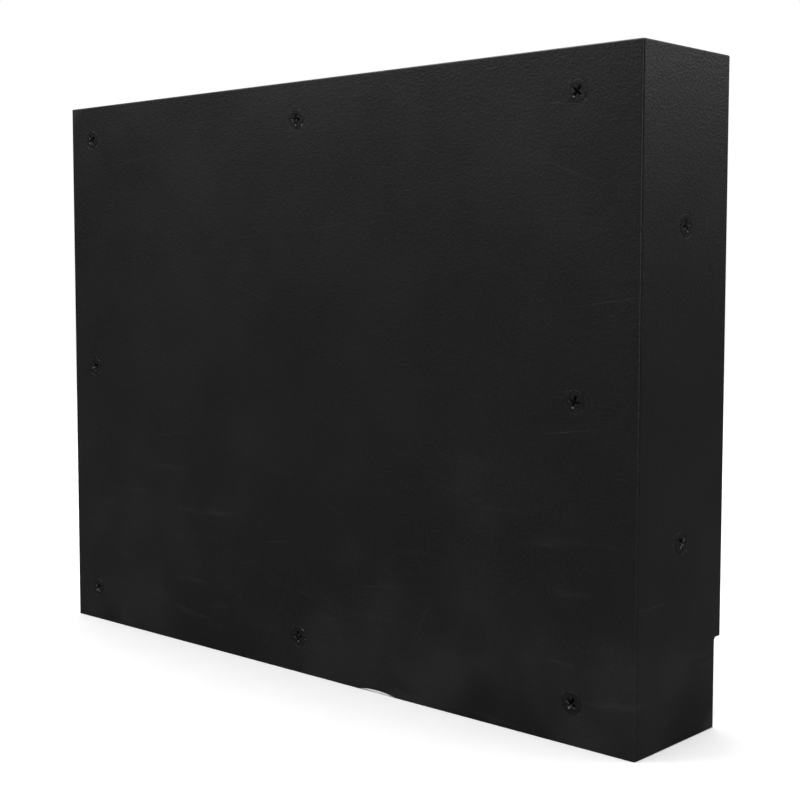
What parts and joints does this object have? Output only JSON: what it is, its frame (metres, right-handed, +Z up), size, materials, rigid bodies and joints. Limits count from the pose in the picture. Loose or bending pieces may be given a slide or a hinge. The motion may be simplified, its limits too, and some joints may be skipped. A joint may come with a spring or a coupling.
{
  "type": "wrap-around kick plate",
  "caption": "Folded sheet kick plate for a door leaf's lower lock-side corner: flat face, square edge, short rear leg stopped above the bottom, countersunk screws and bonding tape.",
  "frame": {"origin": "under the middle of the plate's overall box, on its bottom edge", "axes": "+Z up the door leaf, the plate's face looks along -Y, the folded edge is at +X and the rear leg at +Y"},
  "size_m": [0.2636, 0.0474, 0.2032],
  "materials": {
    "black_powder_coat": "fine-textured satin black powder coat on steel sheet",
    "black_oxide_steel": "black oxide, lightly oiled, on hardened steel screws",
    "bonding_tape": "dark grey closed-cell acrylic foam tape"
  },
  "bodies": {
    "root": {"wrap_plate": "black_powder_coat", "face_screws": "black_oxide_steel", "edge_screws": "black_oxide_steel", "rear_leg_screws": "black_oxide_steel", "tape_top": "bonding_tape", "tape_bottom": "bonding_tape", "tape_free_side": "bonding_tape", "tape_fold_side": "bonding_tape"}
  },
  "joints": []
}
